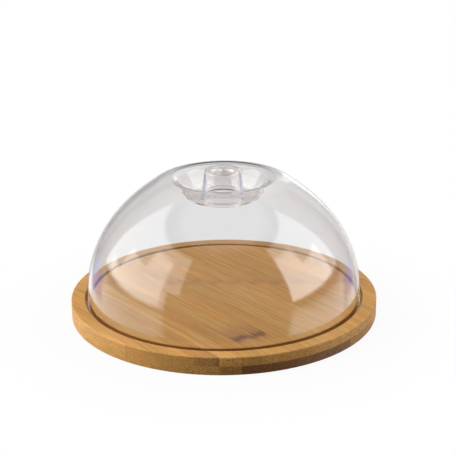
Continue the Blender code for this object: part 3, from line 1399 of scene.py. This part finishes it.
@dataclass(frozen=True)
class Studio:
    """Pale floor, white surroundings and soft lamps."""

    view: View
    ambient: float = 0.15
    room: Triple = (0.26, 0.26, 0.26)
    floor_radius: float = 0.5
    floor_rings: int = 12
    floor_steps: int = 96
    max_bounces: int = 32
    clear_bounces: int = 24
    lamps: tuple[SoftBox, ...] = (
        SoftBox("left_soft_box", turn=-96, rise=12, power=19.5),
        SoftBox("right_soft_box", turn=100, rise=12, power=12.0),
        SoftBox("top_soft_box", turn=-90, rise=78, power=9.5),
    )
    windows: tuple[SoftWindow, ...] = (
        SoftWindow(left=-181, right=-128, low=-95, high=14, light=(0.12, 0.12, 0.12), edge=8),
        SoftWindow(left=128, right=181, low=-95, high=14, light=(0.12, 0.12, 0.12), edge=8),
        SoftWindow(left=-62, right=6, low=-95, high=27, light=(0.50, 0.50, 0.51), edge=6),
        SoftWindow(left=-62, right=6, low=27, high=60, light=(0.60, 0.60, 0.61), edge=6),
        SoftWindow(left=6, right=37, low=-95, high=60, light=(0.84, 0.84, 0.84), edge=4),
        SoftWindow(left=36, right=62, low=-95, high=60, light=(0.56, 0.56, 0.57), edge=4),
        SoftWindow(left=-181, right=181, low=60, high=95, light=(0.90, 0.90, 0.90), edge=5),
        SoftWindow(left=-128, right=-25, low=-95, high=-14, light=(1.3, 1.3, 1.3), edge=4),
        SoftWindow(left=40, right=126, low=-95, high=-12, light=(1.3, 1.3, 1.3), edge=4),
        SoftWindow(left=-130, right=-58, low=-95, high=-1, light=(0.9, 0.9, 0.9), edge=3),
        SoftWindow(left=60, right=124, low=-95, high=-1, light=(0.9, 0.9, 0.9), edge=3),
        SoftWindow(left=-126, right=-58, low=-95, high=-5, light=(1.5, 1.5, 1.5), edge=7),
        SoftWindow(left=64, right=124, low=-95, high=-5, light=(1.6, 1.6, 1.6), edge=5),
        SoftWindow(left=-142, right=-55, low=18, high=50, light=(2.0, 2.0, 2.0), edge=2),
        SoftWindow(left=-130, right=-55, low=2, high=20, light=(2.0, 2.0, 2.0), edge=2),
        SoftWindow(left=63, right=122, low=5, high=52, light=(2.0, 2.0, 2.0), edge=2),
        SoftWindow(left=-125, right=-76, low=4, high=27, light=(4.2, 4.2, 4.2), edge=2),
        SoftWindow(left=-125, right=-100, low=24, high=42, light=(4.2, 4.2, 4.2), edge=3),
        SoftWindow(left=-78, right=-63, low=4, high=11, light=(4.0, 4.0, 4.0), edge=2),
        SoftWindow(left=74, right=122, low=6, high=27, light=(4.4, 4.4, 4.4), edge=2),
        SoftWindow(left=98, right=122, low=24, high=42, light=(4.4, 4.4, 4.4), edge=3),
        SoftWindow(left=10, right=20, low=-5, high=19, light=(1.45, 1.45, 1.45), edge=2),
        SoftWindow(left=-60, right=-36, low=-15, high=-6, light=(0.50, 0.52, 1.05), edge=3),
        SoftWindow(left=42, right=63, low=-14, high=-5, light=(0.50, 0.54, 1.08), edge=3),
    )

    def build_floor(self) -> None:
        """Lays the paper floor: rings of points about the axis, closed at the centre.

        The rings' radii are the squares of an even run, so they lie closer under the board.
        """
        shape = (self.floor_rings, self.floor_steps)
        turn = np.linspace(0.0, 2 * np.pi, self.floor_steps, endpoint=False)[None, :]
        radius = np.linspace(0.0, 1.0, self.floor_rings)[:, None] ** 2 * self.floor_radius
        points = np.stack([radius * np.cos(turn), radius * np.sin(turn), np.zeros(shape)], axis=-1)
        faces = grid_quads(*shape, closed_rows=True).tolist()
        floor = new_mesh_object("paper_floor", points.reshape(-1, 3), faces)
        close_and_smooth(floor, weld=1e-6, crease=math.radians(30))
        if floor.data.polygons[0].normal.z < 0:
            floor.data.flip_normals()
        floor.data.materials.append(FloorFinish().material())

    def build_world(self) -> None:
        """White surroundings to the eye, soft windows in gloss, and an even light on matt things."""
        world = bpy.data.worlds.new("studio")
        bpy.context.scene.world = world
        world.use_nodes = True
        world.cycles.sampling_method = "NONE"
        graph = Graph(world.node_tree)
        way = graph.node("ShaderNodeTexCoord").outputs["Generated"]
        along = graph.dot(way, tuple(self.view.away()))
        across = graph.dot(way, tuple(self.view.right()))
        height = graph.node("ShaderNodeSeparateXYZ", {"Vector": way}).outputs["Z"]
        turn = graph.math("DEGREES", graph.math("ARCTAN2", across, along))
        rise = graph.math("DEGREES", graph.math("ARCSINE", height))
        group = window_group()
        mirrored = (*self.room, 1.0)
        for window in self.windows:
            inputs = {
                "Turn": turn, "Rise": rise, "Left": window.left, "Right": window.right,
                "Low": window.low, "High": window.high, "Edge": window.edge,
            }
            mask = fitted_group(graph, group, inputs).outputs["Mask"]
            mirrored = graph.mix(mask, mirrored, (*window.light, 1.0))
        seen = graph.mix(gloss_rays(graph), WHITE, mirrored)
        light = graph.mix(seen_rays(graph), (self.ambient, self.ambient, self.ambient, 1.0), seen)
        sky = graph.node("ShaderNodeBackground", {"Color": light, "Strength": 1.0})
        graph.node("ShaderNodeOutputWorld", {"Surface": sky.outputs["Background"]})

    def build(self, target: Vector) -> None:
        """Builds floor, surroundings, lamps and camera, and keeps colours as they are written.

        A look through the crown passes many walls, so the clear plastic needs more bounces
        than the default, which leaves black lines there.

        Args:
            target: the point that the camera's and the lamps' distances are told from.
        """
        self.build_floor()
        self.build_world()
        for lamp in self.lamps:
            lamp.build(self.view, target)
        self.view.build(target)
        bpy.context.scene.view_settings.view_transform = "Standard"
        light_paths = bpy.context.scene.cycles
        light_paths.max_bounces = self.max_bounces
        light_paths.glossy_bounces = self.clear_bounces
        light_paths.transmission_bounces = self.clear_bounces


def main() -> None:
    """Builds the board, the dome and the studio, from sizes read off the imported model."""
    logging.basicConfig(level=logging.INFO, format="%(name)s: %(message)s")
    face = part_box(MIDDLE_STAVE)[1].z
    dome = ClearDome.from_frame(face)
    BambooBoard.from_frame(dome.radius, dome.wall).build()
    dome.build(ClearPlasticFinish())
    Studio(View()).build(Vector((0.0, 0.0, face)))


if __name__ == "__main__":
    main()
